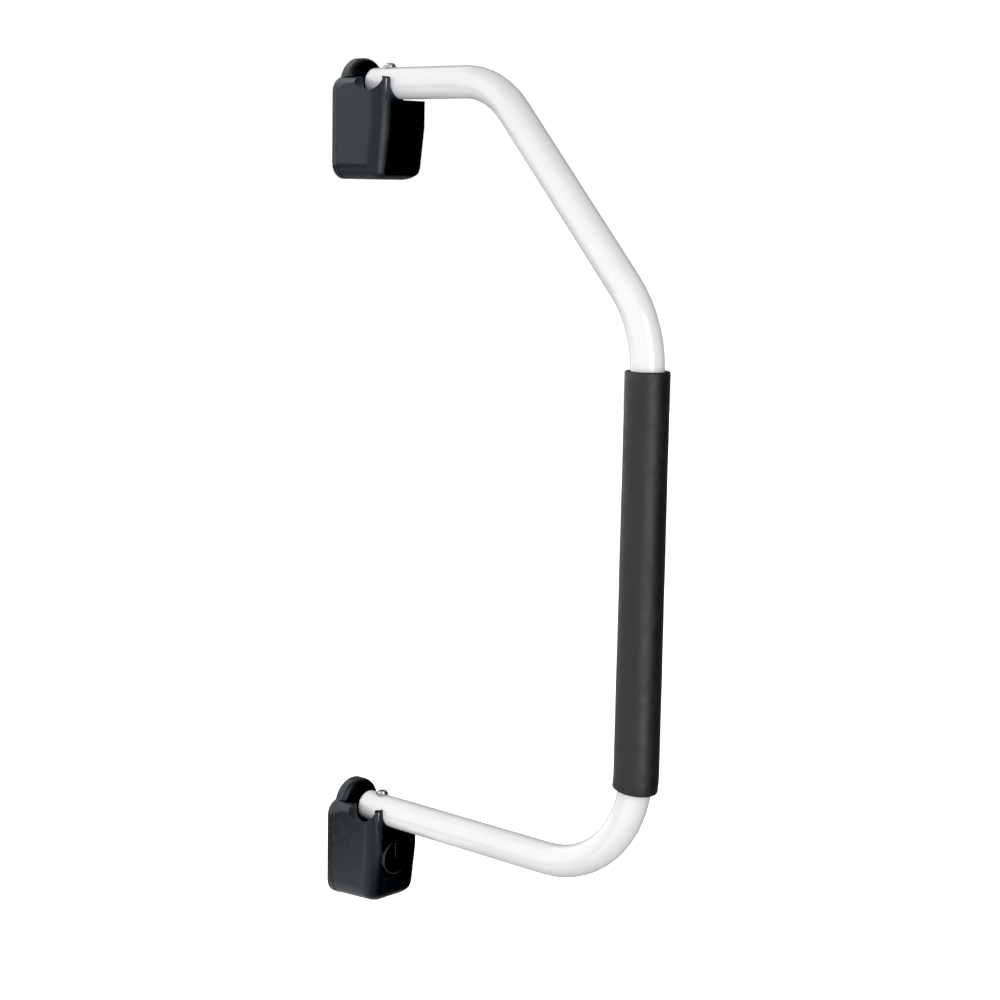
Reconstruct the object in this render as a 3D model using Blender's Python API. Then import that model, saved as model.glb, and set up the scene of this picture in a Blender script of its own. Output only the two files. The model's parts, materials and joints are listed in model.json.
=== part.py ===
"""Entry assist handrail: a bent white tube with a foam grip, held at both ends in moulded wall brackets.

The wall is the plane y = 0 and the rail reaches out along -Y. The origin lies on the lower bracket's
wall face, level with the lower arm of the tube. Each bracket is modelled about its own pivot point,
where the tube's axis crosses the upright pivot bolt. Units are metres.
"""

import math

import bmesh
import bpy
from mathutils import Matrix, Vector

# Clearances
TOUCH_GAP = 0.0003
TUBE_CLEARANCE = 0.0005
BOLT_CLEARANCE = 0.0004
TAIL_CLEARANCE = 0.0006

# Rail tube
TUBE_DIAMETER = 0.030
TUBE_WALL = 0.0018
TUBE_SIDES = 24
BEND_STEP = math.radians(6)
PIVOT_SPACING = 0.709
ARM_REACH = 0.322
KNEE_REACH = 0.136
SLANT_FOOT_HEIGHT = 0.501
UPPER_BEND_RADIUS = 0.080
MIDDLE_BEND_RADIUS = 0.110
LOWER_BEND_RADIUS = 0.103
TAIL_LENGTH = 0.0170

# End caps of the tube
CAP_THICKNESS = 0.0020
CAP_EDGE_RADIUS = 0.0012
CAP_PLUG_LENGTH = 0.0030

# Foam grip
GRIP_DIAMETER = 0.0396
GRIP_TOP = 0.460
GRIP_FOOT_RUN = 0.0155       # length of foam past the start of the lower bend
GRIP_EDGE = 0.0012

# Bracket as a whole
PIVOT_STANDOFF = 0.042
BRACKET_WIDTH = 0.069
BODY_DEPTH_BELOW_TUBE = 0.090
PLATE_THICKNESS = 0.006
PLATE_CORNER_RADIUS = 0.015
SHOULDER_RADIUS = 0.014
DOME_RADIUS = 0.0245
DOME_THICKNESS = 0.012
DOME_RIM_RADIUS = 0.004

# Housing
FRONT_FACE = 0.0173
FRONT_HALF_LEFT = 0.027
FRONT_HALF_RIGHT = 0.033
HOUSING_WALL = 0.004
LEDGE_HEIGHT = 0.006
LEFT_CORNER_RADIUS = 0.015
RIGHT_CORNER_RADIUS = 0.005
LEAN_START = -0.040
FRONT_LEAN = 0.0068
FRONT_FOOT_RADIUS = 0.006
LEFT_FOOT_RADIUS = 0.016
RIGHT_FOOT_RADIUS = 0.021
TOP_EDGE_RADIUS = 0.003
FLOOR_THICKNESS = 0.0060
SEAT_HEIGHT = 0.0075
SEAT_OFFSET = 0.0015
BOSS_RADIUS = 0.009
BOSS_LENGTH = 0.006

# Wall screw holes in the plate
WALL_HOLE_DIAMETER = 0.0055
WALL_HOLE_SINK_DIAMETER = 0.0104
WALL_HOLE_SINK_DEPTH = 0.0030
WALL_HOLE_SPREAD = 0.044
WALL_HOLE_LEVELS = (-0.030, -0.066)

# Hooks that carry the housing on the plate
HOOK_SPREAD = 0.048
HOOK_WIDTH = 0.008
HOOK_STEM_HEIGHT = 0.004
HOOK_TOP_LEVEL = -0.008
HOOK_LIP_HEIGHT = 0.010
HOOK_LIP_THICKNESS = 0.0025
HOOK_REACH = 0.0075
HOOK_SIDE_CLEARANCE = 0.001

# Housing screws, driven up through the bottom wall
HOUSING_SCREW_SPREAD = 0.030
HOUSING_SCREW_SETBACK = 0.013
HOUSING_SCREW_DIAMETER = 0.004
HOUSING_SCREW_LENGTH = 0.012
HOUSING_SCREW_HEAD_DIAMETER = 0.0076
HOUSING_SCREW_HEAD_HEIGHT = 0.0024
HOUSING_SCREW_DRIVE = 0.0026
SCREW_BOSS_RADIUS = 0.0060
SCREW_BOSS_HEIGHT = 0.006
LUG_WIDTH = 0.009
LUG_HEIGHT = 0.014

# Pivot bolt and the pieces on it
PIVOT_BOLT_DIAMETER = 0.006
PIVOT_HEAD_DIAMETER = 0.0105
PIVOT_HEAD_HEIGHT = 0.0027
PIVOT_DRIVE_WIDTH = 0.004
PIVOT_DRIVE_DEPTH = 0.0015
BOLT_END_MARGIN = 0.0015
HEAD_WASHER_DIAMETER = 0.0125
HEAD_WASHER_THICKNESS = 0.0008
THRUST_WASHER_DIAMETER = 0.0126
THRUST_WASHER_THICKNESS = 0.0010
BUSH_DIAMETER = 0.009
DISC_SPRING_DIAMETER = 0.012
DISC_SPRING_THICKNESS = 0.0007
DISC_SPRING_RISE = 0.0006
NUT_WIDTH = 0.010
NUT_HEIGHT = 0.005
NUT_COLLAR_HEIGHT = 0.0018

# Turn knob and lock in the lower bracket
LOCK_LEVEL = -0.045
KNOB_DIAMETER = 0.034
KNOB_HEIGHT = 0.0032
KNOB_EDGE_RADIUS = 0.0012
KNOB_RIDGE_WIDTH = 0.0052
KNOB_RIDGE_LENGTH = 0.0150
KNOB_RIDGE_HEIGHT = 0.0012
KNOB_RIDGE_DRAFT = 0.0008
KNOB_MARK_OFFSET = 0.0080
KNOB_MARK_DIAMETER = 0.0080
KNOB_MARK_HEIGHT = 0.0005
KNOB_DIMPLE_DIAMETER = 0.0044
KNOB_DIMPLE_DEPTH = 0.0012
KNOB_SHAFT_DIAMETER = 0.012
KNOB_SHAFT_LENGTH = 0.0155
CRANK_DIAMETER = 0.016
CRANK_THICKNESS = 0.002
CRANK_SCREW_DIAMETER = 0.003
CRANK_SCREW_HEAD_DIAMETER = 0.0050
CRANK_SCREW_HEAD_HEIGHT = 0.0012
CRANK_SCREW_LENGTH = 0.006
CRANK_PIN_DIAMETER = 0.003
BOLT_TRAVEL = 0.008
BOLT_OFFSET = 0.0105
BOLT_PIN_DIAMETER = 0.0055
BOLT_PLATE_THICKNESS = 0.003
BOLT_PLATE_WIDTH = 0.020
BOLT_PLATE_HEIGHT = 0.014
CRANK_SLOT_CLEARANCE = 0.0004

# Levels and radii that follow from the sizes above, measured from a bracket's pivot point
TUBE_RADIUS = TUBE_DIAMETER / 2
SLOT_HALF = TUBE_RADIUS + TUBE_CLEARANCE
PLATE_FRONT = PIVOT_STANDOFF - PLATE_THICKNESS
DOME_FRONT = PIVOT_STANDOFF - DOME_THICKNESS
HOUSING_BACK = PLATE_FRONT - TOUCH_GAP
TAIL_END = TAIL_LENGTH + TOUCH_GAP + CAP_THICKNESS
TAIL_SWEEP_RADIUS = math.hypot(TAIL_END, TUBE_RADIUS) + TAIL_CLEARANCE
FLOOR_LEVEL = -(TUBE_RADIUS + 2 * TOUCH_GAP)
WASHER_SEAT = FLOOR_LEVEL - THRUST_WASHER_THICKNESS
FLOOR_UNDERSIDE = FLOOR_LEVEL - FLOOR_THICKNESS
BOSS_END = FLOOR_UNDERSIDE - BOSS_LENGTH
HEAD_WASHER_TOP = TUBE_RADIUS + TOUCH_GAP + HEAD_WASHER_THICKNESS
DISC_SPRING_TOP = BOSS_END - TOUCH_GAP
DISC_SPRING_END = DISC_SPRING_TOP - DISC_SPRING_THICKNESS - DISC_SPRING_RISE
NUT_TOP = DISC_SPRING_END - TOUCH_GAP
NUT_END = NUT_TOP - NUT_HEIGHT
PIVOT_BOLT_END = NUT_END - BOLT_END_MARGIN
BOLT_HOLE_RADIUS = PIVOT_BOLT_DIAMETER / 2 + BOLT_CLEARANCE
HOUSING_SCREW_DEPTH = PLATE_FRONT - HOUSING_SCREW_SETBACK / 2
SHAFT_END = -FRONT_FACE + KNOB_SHAFT_LENGTH
CRANK_FRONT = SHAFT_END + TOUCH_GAP
CRANK_BACK = CRANK_FRONT + CRANK_THICKNESS
CRANK_ARM = BOLT_TRAVEL / (2 * math.sin(math.radians(45)))
CRANK_PIN_SIDE = CRANK_ARM * math.cos(math.radians(45))
CRANK_PIN_DROP = CRANK_ARM * math.sin(math.radians(45))
BOLT_PLATE_FRONT = BOLT_OFFSET - BOLT_PLATE_THICKNESS / 2
BOLT_PLATE_BACK = BOLT_OFFSET + BOLT_PLATE_THICKNESS / 2
BOLT_PIN_TOP = -TUBE_RADIUS - TOUCH_GAP

LOWER_PIVOT = Vector((0.0, -PIVOT_STANDOFF, 0.0))
UPPER_PIVOT = Vector((0.0, -PIVOT_STANDOFF, PIVOT_SPACING))

AXIS_TURNS = {
    "X": Matrix.Rotation(math.radians(90), 4, "Y"),
    "Y": Matrix.Rotation(math.radians(-90), 4, "X"),
    "Z": Matrix.Identity(4),
}


def clear_scene():
    for obj in list(bpy.data.objects):
        bpy.data.objects.remove(obj, do_unlink=True)


def make_material(name, colour, roughness, metallic=0.0):
    material = bpy.data.materials.new(name)
    material.use_nodes = True
    shader = material.node_tree.nodes["Principled BSDF"]
    shader.inputs["Base Color"].default_value = (*colour, 1.0)
    shader.inputs["Roughness"].default_value = roughness
    shader.inputs["Metallic"].default_value = metallic
    return material


def add_object(name, mesh, location, material=None):
    obj = bpy.data.objects.new(name, mesh)
    obj.location = location
    bpy.context.collection.objects.link(obj)
    if material:
        mesh.materials.append(material)
    return obj


def finish_mesh(name, bm):
    """Turns the faces outwards and shades round faces smooth."""
    bmesh.ops.recalc_face_normals(bm, faces=bm.faces)
    mesh = bpy.data.meshes.new(name)
    bm.to_mesh(mesh)
    bm.free()
    mesh.shade_smooth()
    mesh.set_sharp_from_angle(angle=math.radians(35))
    return mesh


def box_mesh(name, low, high):
    bm = bmesh.new()
    bmesh.ops.create_cube(bm, size=1.0)
    size = Vector(high) - Vector(low)
    bmesh.ops.scale(bm, vec=size, verts=bm.verts)
    bmesh.ops.translate(bm, vec=(Vector(low) + Vector(high)) / 2, verts=bm.verts)
    return finish_mesh(name, bm)


def rod_mesh(name, axis, start, radius, length, end_radius=None, sides=24):
    """A round rod or cone that runs from start along +axis."""
    bm = bmesh.new()
    bmesh.ops.create_cone(
        bm, cap_ends=True, segments=sides, radius1=radius,
        radius2=radius if end_radius is None else end_radius, depth=length,
    )
    bmesh.ops.translate(bm, vec=(0, 0, length / 2), verts=bm.verts)
    bmesh.ops.transform(bm, matrix=Matrix.Translation(start) @ AXIS_TURNS[axis], verts=bm.verts)
    return finish_mesh(name, bm)


def turned_mesh(name, axis, start, profile, sides=24):
    """A closed (radius, height) outline spun round the axis, as on a lathe."""
    bm = bmesh.new()
    points = [bm.verts.new((radius, 0.0, height)) for radius, height in profile]
    edges = [bm.edges.new(pair) for pair in zip(points, points[1:] + points[:1])]
    bmesh.ops.spin(
        bm, geom=points + edges, cent=(0, 0, 0), axis=(0, 0, 1), dvec=(0, 0, 0),
        angle=math.tau, steps=sides, use_merge=True, use_duplicate=False,
    )
    bmesh.ops.remove_doubles(bm, verts=bm.verts, dist=1e-6)
    bmesh.ops.transform(bm, matrix=Matrix.Translation(start) @ AXIS_TURNS[axis], verts=bm.verts)
    return finish_mesh(name, bm)


def prism_mesh(name, outline, low, high, along):
    """A closed outline extruded along Y (outline in x, z) or along Z (outline in x, y)."""
    bm = bmesh.new()
    if along == "Y":
        points = [bm.verts.new((x, low, z)) for x, z in outline]
        step = Vector((0, high - low, 0))
    else:
        points = [bm.verts.new((x, y, low)) for x, y in outline]
        step = Vector((0, 0, high - low))
    face = bm.faces.new(points)
    grown = bmesh.ops.extrude_face_region(bm, geom=[face])
    moved = [item for item in grown["geom"] if isinstance(item, bmesh.types.BMVert)]
    bmesh.ops.translate(bm, vec=step, verts=moved)
    return finish_mesh(name, bm)


def arc(centre, radius, start_deg, end_deg, steps):
    """Points on an arc, both ends included."""
    points = []
    for i in range(steps + 1):
        angle = math.radians(start_deg + (end_deg - start_deg) * i / steps)
        points.append((centre[0] + radius * math.cos(angle), centre[1] + radius * math.sin(angle)))
    return points


def boolean(target, other_mesh, operation, location):
    """Cuts or joins a mesh that is kept as a hidden guide at the same place."""
    guide = add_object(other_mesh.name, other_mesh, location)
    guide.hide_render = True
    guide.display_type = "WIRE"
    modifier = target.modifiers.new(other_mesh.name, "BOOLEAN")
    modifier.operation = operation
    modifier.solver = "EXACT"
    modifier.object = guide


def cut(target, mesh, location):
    boolean(target, mesh, "DIFFERENCE", location)


def join(target, mesh, location):
    boolean(target, mesh, "UNION", location)


def hang_on(parent, *children):
    """Parents pieces to the empty on their joint's axis, leaving them where they are."""
    for child in children:
        child.parent = parent
        child.matrix_parent_inverse = Matrix.Translation(parent.location).inverted()


def make_axis_empty(name, location):
    empty = bpy.data.objects.new(name, None)
    empty.empty_display_size = 0.02
    empty.location = location
    bpy.context.collection.objects.link(empty)
    return empty


def bend_points(before, corner, after, radius):
    """The arc that rounds a corner of the rail's centre line, tangent to both runs."""
    towards_before = (before - corner).normalized()
    towards_after = (after - corner).normalized()
    half_angle = towards_before.angle(towards_after) / 2
    tangent_length = radius / math.tan(half_angle)
    centre = corner + (towards_before + towards_after).normalized() * radius / math.sin(half_angle)
    first = corner + towards_before * tangent_length - centre
    last = corner + towards_after * tangent_length - centre
    turn = first.angle(last)
    steps = max(2, round(turn / BEND_STEP))
    points = []
    for i in range(steps + 1):
        share = i / steps
        weight_first = math.sin((1 - share) * turn) / math.sin(turn)
        weight_last = math.sin(share * turn) / math.sin(turn)
        points.append(centre + first * weight_first + last * weight_last)
    return points


def rail_points(tail):
    """The rail's centre line, from the upper tail round to the lower tail."""
    upper_corner = Vector((0, -PIVOT_STANDOFF - KNEE_REACH, PIVOT_SPACING))
    middle_corner = Vector((0, -PIVOT_STANDOFF - ARM_REACH, SLANT_FOOT_HEIGHT))
    lower_corner = Vector((0, -PIVOT_STANDOFF - ARM_REACH, 0))
    points = [UPPER_PIVOT + Vector((0, tail, 0))]
    points += bend_points(UPPER_PIVOT, upper_corner, middle_corner, UPPER_BEND_RADIUS)
    points += bend_points(upper_corner, middle_corner, lower_corner, MIDDLE_BEND_RADIUS)
    points += bend_points(middle_corner, lower_corner, LOWER_PIVOT, LOWER_BEND_RADIUS)
    points.append(LOWER_PIVOT + Vector((0, tail, 0)))
    return points


def grip_points():
    """The stretch of the centre line under the foam grip, which runs a little into the lower bend."""
    middle_corner = Vector((0, -PIVOT_STANDOFF - ARM_REACH, SLANT_FOOT_HEIGHT))
    lower_corner = Vector((0, -PIVOT_STANDOFF - ARM_REACH, 0))
    top = Vector((0, -PIVOT_STANDOFF - ARM_REACH, GRIP_TOP))
    lower_bend = bend_points(middle_corner, lower_corner, LOWER_PIVOT, LOWER_BEND_RADIUS)
    points = [top, lower_bend[0]]
    run_left = GRIP_FOOT_RUN
    for here, there in zip(lower_bend, lower_bend[1:]):
        step = (there - here).length
        if run_left <= step:
            points.append(here.lerp(there, run_left / step))
            break
        points.append(there)
        run_left -= step
    return points


def hollow_tube(name, points, radius, wall, material):
    """A round bar along a path, taken from a curve and thickened inwards to its wall."""
    curve = bpy.data.curves.new(name, "CURVE")
    curve.dimensions = "3D"
    curve.bevel_depth = radius
    curve.bevel_resolution = (TUBE_SIDES - 4) // 2
    spline = curve.splines.new("POLY")
    spline.points.add(len(points) - 1)
    for point, place in zip(spline.points, points):
        point.co = (*place, 1.0)
    source = bpy.data.objects.new(name + "_path", curve)
    bpy.context.collection.objects.link(source)
    mesh = bpy.data.meshes.new_from_object(source.evaluated_get(bpy.context.evaluated_depsgraph_get()))
    bpy.data.objects.remove(source, do_unlink=True)
    bm = bmesh.new()
    bm.from_mesh(mesh)
    obj = add_object(name, finish_mesh(name, bm), (0, 0, 0), material)
    solidify = obj.modifiers.new("tube_wall", "SOLIDIFY")
    solidify.thickness = wall
    solidify.offset = -1.0
    solidify.use_even_offset = True
    return obj


def make_rail(white, foam, cap_white, axis_empty):
    rail = hollow_tube("rail_tube", rail_points(TAIL_LENGTH), TUBE_RADIUS, TUBE_WALL, white)
    for prefix, pivot in (("lower", LOWER_PIVOT), ("upper", UPPER_PIVOT)):
        hole = rod_mesh(
            prefix + "_pivot_hole", "Z", (0, 0, -TUBE_DIAMETER), BOLT_HOLE_RADIUS, 2 * TUBE_DIAMETER,
            sides=16,
        )
        cut(rail, hole, pivot)
    bolt_hole_radius = BOLT_PIN_DIAMETER / 2 + BOLT_CLEARANCE
    for name, place in (("lock_hole_open", (0, BOLT_OFFSET)), ("lock_hole_folded", (BOLT_OFFSET, 0))):
        hole = rod_mesh(name, "Z", (*place, -TUBE_DIAMETER), bolt_hole_radius, TUBE_DIAMETER, sides=16)
        cut(rail, hole, LOWER_PIVOT)
    grip_wall = (GRIP_DIAMETER / 2 - TUBE_RADIUS - TOUCH_GAP) * math.cos(math.pi / TUBE_SIDES)
    grip = hollow_tube("grip_sleeve", grip_points(), GRIP_DIAMETER / 2, grip_wall, foam)
    bevel = grip.modifiers.new("soft_ends", "BEVEL")
    bevel.width = GRIP_EDGE
    bevel.segments = 2
    bevel.limit_method = "ANGLE"
    bevel.angle_limit = math.radians(60)
    pieces = [rail, grip]
    plug_radius = TUBE_RADIUS - TUBE_WALL - TOUCH_GAP
    seat = TAIL_LENGTH + TOUCH_GAP
    corner = arc((TUBE_RADIUS - CAP_EDGE_RADIUS, CAP_THICKNESS - CAP_EDGE_RADIUS), CAP_EDGE_RADIUS, 0, 90, 3)
    profile = [(0, -CAP_PLUG_LENGTH), (plug_radius, -CAP_PLUG_LENGTH), (plug_radius, 0), (TUBE_RADIUS, 0)]
    profile += corner + [(0, CAP_THICKNESS)]
    for prefix, pivot in (("lower", LOWER_PIVOT), ("upper", UPPER_PIVOT)):
        mesh = turned_mesh(prefix + "_end_cap", "Y", (0, seat, 0), profile)
        pieces.append(add_object(prefix + "_end_cap", mesh, pivot, cap_white))
    hang_on(axis_empty, *pieces)


def plate_outline():
    """The wall plate's outline, seen from the front: a round dome over sloping shoulders."""
    half = BRACKET_WIDTH / 2
    shoulder = (half - SHOULDER_RADIUS, LEDGE_HEIGHT - SHOULDER_RADIUS)
    dome_start = math.degrees(math.asin(LEDGE_HEIGHT / DOME_RADIUS))
    foot = (half - PLATE_CORNER_RADIUS, -BODY_DEPTH_BELOW_TUBE + PLATE_CORNER_RADIUS)
    right = arc(foot, PLATE_CORNER_RADIUS, -90, 0, 6)
    right += arc(shoulder, SHOULDER_RADIUS, 0, 72, 5)
    dome = arc((0, 0), DOME_RADIUS, dome_start, 180 - dome_start, 20)
    left = [(-x, z) for x, z in reversed(right)]
    return right + dome + left


def tongue_outline():
    """The raised dome and the tongue below it, which fills the trough behind the tube's tail."""
    low = LEDGE_HEIGHT + TOUCH_GAP
    tongue_half = SLOT_HALF - TOUCH_GAP
    start = math.degrees(math.asin(low / DOME_RADIUS))
    high = FLOOR_LEVEL + TOUCH_GAP
    outline = [(-tongue_half, high), (tongue_half, high), (tongue_half, low)]
    outline += arc((0, 0), DOME_RADIUS, start, 180 - start, 20)
    outline.append((-tongue_half, low))
    return outline


def round_dome_rim(mesh):
    """Rounds the dome's front edge, where its curved side meets its front face."""
    bm = bmesh.new()
    bm.from_mesh(mesh)
    front = min(vert.co.y for vert in bm.verts)
    rim = [
        edge for edge in bm.edges
        if all(abs(vert.co.y - front) < 1e-6 and vert.co.z > LEDGE_HEIGHT for vert in edge.verts)
        and all(abs(vert.co.xz.length - DOME_RADIUS) < 1e-5 for vert in edge.verts)
    ]
    bmesh.ops.bevel(
        bm, geom=rim, affect="EDGES", offset=DOME_RIM_RADIUS, segments=4, profile=0.5, material=-1,
        offset_type="OFFSET", clamp_overlap=True,
    )
    return finish_mesh(mesh.name, bm)


def round_front_edges(mesh, radius):
    """Rounds the edges round a block's front face."""
    bm = bmesh.new()
    bm.from_mesh(mesh)
    front = min(vert.co.y for vert in bm.verts)
    rim = [edge for edge in bm.edges if all(vert.co.y == front for vert in edge.verts)]
    bmesh.ops.bevel(
        bm, geom=rim, affect="EDGES", offset=radius, segments=3, profile=0.5, material=-1,
        offset_type="OFFSET", clamp_overlap=True,
    )
    return finish_mesh(mesh.name, bm)


def make_wall_plate(prefix, pivot, black):
    plate = add_object(
        prefix + "_wall_plate",
        prism_mesh(prefix + "_wall_plate", plate_outline(), PLATE_FRONT, PIVOT_STANDOFF, "Y"),
        pivot, black,
    )
    overlap = PLATE_THICKNESS / 2
    dome = prism_mesh(prefix + "_plate_dome", tongue_outline(), DOME_FRONT, PLATE_FRONT + overlap, "Y")
    join(plate, round_dome_rim(dome), pivot)
    for side, label in ((-1, "left"), (1, "right")):
        hook_x = side * HOOK_SPREAD / 2
        half = HOOK_WIDTH / 2
        lip_front = PLATE_FRONT - HOOK_REACH
        stem = box_mesh(
            f"{prefix}_hook_stem_{label}",
            (hook_x - half, lip_front, HOOK_TOP_LEVEL - HOOK_STEM_HEIGHT),
            (hook_x + half, PLATE_FRONT + overlap, HOOK_TOP_LEVEL),
        )
        join(plate, stem, pivot)
        lip_inset = HOOK_SIDE_CLEARANCE / 2
        lip = box_mesh(
            f"{prefix}_hook_lip_{label}",
            (hook_x - half + lip_inset, lip_front - lip_inset, HOOK_TOP_LEVEL - HOOK_LIP_HEIGHT),
            (hook_x + half - lip_inset, lip_front + HOOK_LIP_THICKNESS, HOOK_TOP_LEVEL - lip_inset),
        )
        join(plate, lip, pivot)
        screw_x = side * HOUSING_SCREW_SPREAD / 2
        lug_low = -BODY_DEPTH_BELOW_TUBE + SCREW_BOSS_HEIGHT + TOUCH_GAP
        lug = box_mesh(
            f"{prefix}_screw_lug_{label}",
            (screw_x - LUG_WIDTH / 2, PLATE_FRONT - HOUSING_SCREW_SETBACK, lug_low),
            (screw_x + LUG_WIDTH / 2, PLATE_FRONT + overlap, lug_low + LUG_HEIGHT),
        )
        join(plate, lug, pivot)
        pilot = rod_mesh(
            f"{prefix}_screw_pilot_{label}", "Z", (screw_x, HOUSING_SCREW_DEPTH, lug_low - 0.001),
            HOUSING_SCREW_DIAMETER / 2 + TOUCH_GAP, HOUSING_SCREW_LENGTH, sides=12,
        )
        cut(plate, pilot, pivot)
        for level in WALL_HOLE_LEVELS:
            hole_x = side * WALL_HOLE_SPREAD / 2
            hole = turned_mesh(
                f"{prefix}_wall_hole_{label}_{round(-level * 1000)}", "Y", (hole_x, PLATE_FRONT, level),
                [
                    (0, -0.001),
                    (WALL_HOLE_SINK_DIAMETER / 2 + 0.001, -0.001),
                    (WALL_HOLE_DIAMETER / 2, WALL_HOLE_SINK_DEPTH),
                    (WALL_HOLE_DIAMETER / 2, PLATE_THICKNESS + 0.001),
                    (0, PLATE_THICKNESS + 0.001),
                ],
                sides=16,
            )
            cut(plate, hole, pivot)


def housing_block(name, inset, back, top):
    """The housing's outer block, or its cavity when inset by the wall: tapered, with rounded edges.

    Below LEAN_START the front leans back towards the foot.
    """
    rear_half = BRACKET_WIDTH / 2 - inset
    front_half = {-1: FRONT_HALF_LEFT - inset, 1: FRONT_HALF_RIGHT - inset}
    corner_radius = {-1: LEFT_CORNER_RADIUS, 1: RIGHT_CORNER_RADIUS}
    foot_radius = {-1: LEFT_FOOT_RADIUS, 1: RIGHT_FOOT_RADIUS}
    front = -FRONT_FACE + inset
    bottom = -BODY_DEPTH_BELOW_TUBE + inset
    levels = [(bottom, front + FRONT_LEAN), (LEAN_START, front), (top, front)]
    bm = bmesh.new()
    columns = {}
    for side in (-1, 1):
        for z, y in levels:
            half = front_half[side] + (rear_half - front_half[side]) * (y - front) / (back - front)
            columns[side, "front", z] = bm.verts.new((side * half, y, z))
            columns[side, "back", z] = bm.verts.new((side * rear_half, back, z))
    heights = [z for z, _ in levels]
    for low, high in zip(heights, heights[1:]):
        for side in (-1, 1):
            loop = [(side, "front", low), (side, "back", low), (side, "back", high), (side, "front", high)]
            bm.faces.new([columns[key] for key in loop])
        for end in ("front", "back"):
            loop = [(-1, end, low), (1, end, low), (1, end, high), (-1, end, high)]
            bm.faces.new([columns[key] for key in loop])
    for z in (bottom, top):
        loop = [(-1, "front", z), (1, "front", z), (1, "back", z), (-1, "back", z)]
        bm.faces.new([columns[key] for key in loop])
    bmesh.ops.recalc_face_normals(bm, faces=bm.faces)
    trim = inset / 2
    widest = max(foot_radius.values())
    weights = bm.edges.layers.float.new("bevel_weight_edge")
    half_way = (front + FRONT_LEAN + back) / 2
    for edge in bm.edges:
        a, b = (vert.co for vert in edge.verts)
        at_front = max(a.y, b.y) < half_way
        at_back = min(a.y, b.y) > half_way
        at_bottom = max(a.z, b.z) < bottom + TOUCH_GAP
        at_top = min(a.z, b.z) > top - TOUCH_GAP
        upright = abs(a.z - b.z) > TOUCH_GAP
        side = -1 if a.x < 0 else 1
        radius = 0.0
        if at_front and at_bottom:
            radius = FRONT_FOOT_RADIUS - trim
        elif at_bottom and not at_back:
            radius = foot_radius[side] - trim
        elif at_front and upright:
            radius = corner_radius[side] - trim
        elif at_top and not at_back and not inset:
            radius = TOP_EDGE_RADIUS
        edge[weights] = radius / widest
    obj = add_object(name, finish_mesh(name, bm), (0, 0, 0))
    bevel = obj.modifiers.new("rounded_edges", "BEVEL")
    bevel.limit_method = "WEIGHT"
    bevel.width = widest
    bevel.segments = 6
    bevel.use_clamp_overlap = False
    rounded = bpy.data.meshes.new_from_object(obj.evaluated_get(bpy.context.evaluated_depsgraph_get()))
    bpy.data.objects.remove(obj, do_unlink=True)
    rounded.name = name
    rounded.shade_smooth()
    rounded.set_sharp_from_angle(angle=math.radians(35))
    return rounded


def swing_space_outline():
    """What the tube and its tail sweep from straight out to flat along the wall, seen from above."""
    far = BRACKET_WIDTH
    reach = TAIL_SWEEP_RADIUS
    edge_angle = math.degrees(math.asin(SLOT_HALF / reach))
    tail_sweep = arc((0, 0), reach, 180 + edge_angle, 90 + edge_angle, 8)
    outline = [(0, -far), (0, -SLOT_HALF)]
    outline += tail_sweep
    outline += [(-SLOT_HALF, far), (SLOT_HALF, far), (SLOT_HALF, SLOT_HALF), (far, SLOT_HALF), (far, -far)]
    return outline


def shoulder_trim_outline():
    """What the plate's round shoulders leave off the rear posts' square corners, seen from the front."""
    half = BRACKET_WIDTH / 2
    centre = (half - SHOULDER_RADIUS, LEDGE_HEIGHT - SHOULDER_RADIUS)
    far = half + SHOULDER_RADIUS / 2
    high = LEDGE_HEIGHT + SHOULDER_RADIUS / 2
    return arc(centre, SHOULDER_RADIUS, 0, 90, 6) + [(centre[0], high), (far, high), (far, centre[1])]


def front_slot_outline():
    """The U-shaped slot in the front wall that the tube leaves through, seen from the front."""
    above = LEDGE_HEIGHT + 0.004
    return arc((0, 0), SLOT_HALF, 180, 360, 16) + [(SLOT_HALF, above), (-SLOT_HALF, above)]


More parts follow.
